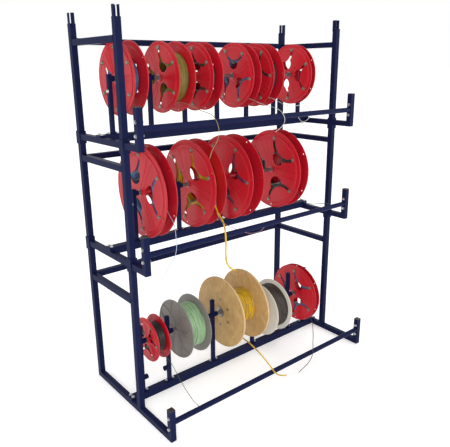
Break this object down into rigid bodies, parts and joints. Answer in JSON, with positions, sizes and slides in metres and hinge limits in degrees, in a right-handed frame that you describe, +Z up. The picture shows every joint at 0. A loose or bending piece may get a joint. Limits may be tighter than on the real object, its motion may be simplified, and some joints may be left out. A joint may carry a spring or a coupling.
{
  "type": "wire spool rack",
  "caption": "Free-standing three-tier square-tube rack holding flanged wire spools on fixed axles, each spool free to turn and pay out its wire over a front guide bar.",
  "frame": {"origin": "on the floor, under the middle of the rack's outline seen from above", "axes": "+X to the right along the rack, +Y to its back, +Z up"},
  "size_m": [1.494, 0.8058, 2],
  "materials": {
    "navy_paint": "gloss",
    "zinc": "satin",
    "steel": "satin",
    "black_plastic": "matt",
    "red_plastic": "gloss",
    "grey_plastic": "satin",
    "plywood": "matt",
    "pale_plastic": "satin",
    "wire_blue": "satin",
    "wire_green": "satin",
    "wire_dark_green": "satin",
    "wire_brown": "satin",
    "wire_black": "satin",
    "wire_purple": "satin",
    "wire_yellow": "satin",
    "wire_mint": "satin",
    "wire_white": "satin"
  },
  "bodies": {
    "rack": {"posts_left": "navy_paint", "posts_right": "navy_paint", "stack_sleeves": "navy_paint", "side_rails_left": "navy_paint", "side_rails_right": "navy_paint", "rear_rails": "navy_paint", "arms": "navy_paint", "guide_holders": "navy_paint", "end_caps": "black_plastic", "guide_bars": "navy_paint", "holder_bolts": "zinc", "spool_beams": "navy_paint", "beam_brackets": "navy_paint", "uprights_top": "navy_paint", "uprights_middle": "navy_paint", "uprights_bottom": "navy_paint", "foot_bolts": "zinc", "axles_top": "steel", "axles_middle": "steel", "axles_bottom": "steel", "tail_t2_green": "wire_green", "tail_t4_white": "wire_white", "tail_t5_silver": "wire_white", "tail_m1_blue": "wire_blue", "tail_m2_yellow": "wire_yellow", "tail_m2_pink": "wire_purple", "tail_m4_black": "wire_black", "tail_b1_green": "wire_dark_green", "tail_b3_yellow": "wire_yellow", "tail_b5_black": "wire_black"},
    "spool_t1": {"spool_t1_flanges": "red_plastic", "spool_t1_winding": "wire_blue"},
    "spool_t2": {"spool_t2_flanges": "red_plastic", "spool_t2_winding": "wire_green"},
    "spool_t3": {"spool_t3_flanges": "red_plastic", "spool_t3_winding": "wire_brown"},
    "spool_t4": {"spool_t4_flanges": "red_plastic", "spool_t4_winding": "wire_blue"},
    "spool_t5": {"spool_t5_flanges": "red_plastic", "spool_t5_winding": "wire_black"},
    "spool_t6": {"spool_t6_flanges": "red_plastic", "spool_t6_winding": "wire_purple"},
    "spool_m1": {"spool_m1_flanges": "red_plastic", "spool_m1_winding": "wire_blue"},
    "spool_m2": {"spool_m2_flanges": "red_plastic", "spool_m2_winding": "wire_yellow"},
    "spool_m3": {"spool_m3_flanges": "red_plastic", "spool_m3_winding": "wire_purple"},
    "spool_m4": {"spool_m4_flanges": "red_plastic", "spool_m4_winding": "wire_black"},
    "spool_b1": {"spool_b1_flanges": "red_plastic", "spool_b1_winding": "wire_black"},
    "spool_b2": {"spool_b2_flanges": "grey_plastic", "spool_b2_winding": "wire_mint"},
    "spool_b3": {"spool_b3_flanges": "plywood", "spool_b3_winding": "wire_yellow"},
    "spool_b4": {"spool_b4_flanges": "pale_plastic", "spool_b4_winding": "wire_brown"},
    "spool_b5": {"spool_b5_flanges": "red_plastic", "spool_b5_winding": "wire_blue"}
  },
  "joints": [
    {"name": "spool_t1_turn", "type": "hinge", "parent": "rack", "child": "spool_t1", "pos_m": [-0.584, 0.149, 1.695], "axis": [1, 0, 0], "continuous": true},
    {"name": "spool_t2_turn", "type": "hinge", "parent": "rack", "child": "spool_t2", "pos_m": [-0.324, 0.149, 1.695], "axis": [1, 0, 0], "continuous": true},
    {"name": "spool_t3_turn", "type": "hinge", "parent": "rack", "child": "spool_t3", "pos_m": [-0.13, 0.149, 1.695], "axis": [1, 0, 0], "continuous": true},
    {"name": "spool_t4_turn", "type": "hinge", "parent": "rack", "child": "spool_t4", "pos_m": [0.1435, 0.149, 1.695], "axis": [1, 0, 0], "continuous": true},
    {"name": "spool_t5_turn", "type": "hinge", "parent": "rack", "child": "spool_t5", "pos_m": [0.309, 0.149, 1.695], "axis": [1, 0, 0], "continuous": true},
    {"name": "spool_t6_turn", "type": "hinge", "parent": "rack", "child": "spool_t6", "pos_m": [0.5985, 0.149, 1.695], "axis": [1, 0, 0], "continuous": true},
    {"name": "spool_m1_turn", "type": "hinge", "parent": "rack", "child": "spool_m1", "pos_m": [-0.495, 0.137, 1.122], "axis": [1, 0, 0], "continuous": true},
    {"name": "spool_m2_turn", "type": "hinge", "parent": "rack", "child": "spool_m2", "pos_m": [-0.1855, 0.137, 1.122], "axis": [1, 0, 0], "continuous": true},
    {"name": "spool_m3_turn", "type": "hinge", "parent": "rack", "child": "spool_m3", "pos_m": [0.0825, 0.137, 1.122], "axis": [1, 0, 0], "continuous": true},
    {"name": "spool_m4_turn", "type": "hinge", "parent": "rack", "child": "spool_m4", "pos_m": [0.461, 0.137, 1.122], "axis": [1, 0, 0], "continuous": true},
    {"name": "spool_b1_turn", "type": "hinge", "parent": "rack", "child": "spool_b1", "pos_m": [-0.5745, 0.019, 0.342], "axis": [1, 0, 0], "continuous": true},
    {"name": "spool_b2_turn", "type": "hinge", "parent": "rack", "child": "spool_b2", "pos_m": [-0.361, 0.019, 0.342], "axis": [1, 0, 0], "continuous": true},
    {"name": "spool_b3_turn", "type": "hinge", "parent": "rack", "child": "spool_b3", "pos_m": [-0.003, 0.019, 0.342], "axis": [1, 0, 0], "continuous": true},
    {"name": "spool_b4_turn", "type": "hinge", "parent": "rack", "child": "spool_b4", "pos_m": [0.28, 0.019, 0.257], "axis": [1, 0, 0], "continuous": true},
    {"name": "spool_b5_turn", "type": "hinge", "parent": "rack", "child": "spool_b5", "pos_m": [0.558, 0.019, 0.28], "axis": [1, 0, 0], "continuous": true}
  ]
}
